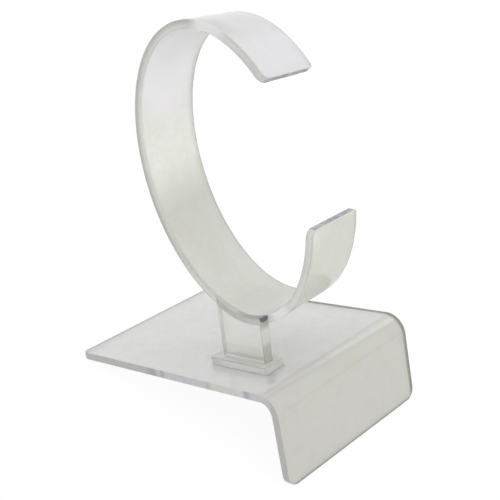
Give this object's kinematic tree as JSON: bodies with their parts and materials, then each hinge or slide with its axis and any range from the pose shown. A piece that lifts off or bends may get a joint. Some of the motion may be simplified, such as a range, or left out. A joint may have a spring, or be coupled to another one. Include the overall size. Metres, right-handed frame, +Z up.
{
  "type": "watch stand",
  "caption": "Clear watch stand: an open oval cuff on a short post, over a sloped base that bends down at the front into a label lip.",
  "frame": {"origin": "centre of the base's footprint, on the surface that the stand rests on", "axes": "+Z up; +X towards the label lip, which is the front; +Y across the width, away from the side that the post is near"},
  "size_m": [0.0742, 0.05, 0.0958],
  "materials": {
    "base_acrylic": "clear, polished, lightly rubbed",
    "post_acrylic": "clear, polished, with visible cement",
    "cuff_acrylic": "clear, polished, lightly rubbed"
  },
  "bodies": {
    "root": {"base": "base_acrylic", "foot_pad": "post_acrylic", "post": "post_acrylic", "cuff": "cuff_acrylic"}
  },
  "joints": []
}
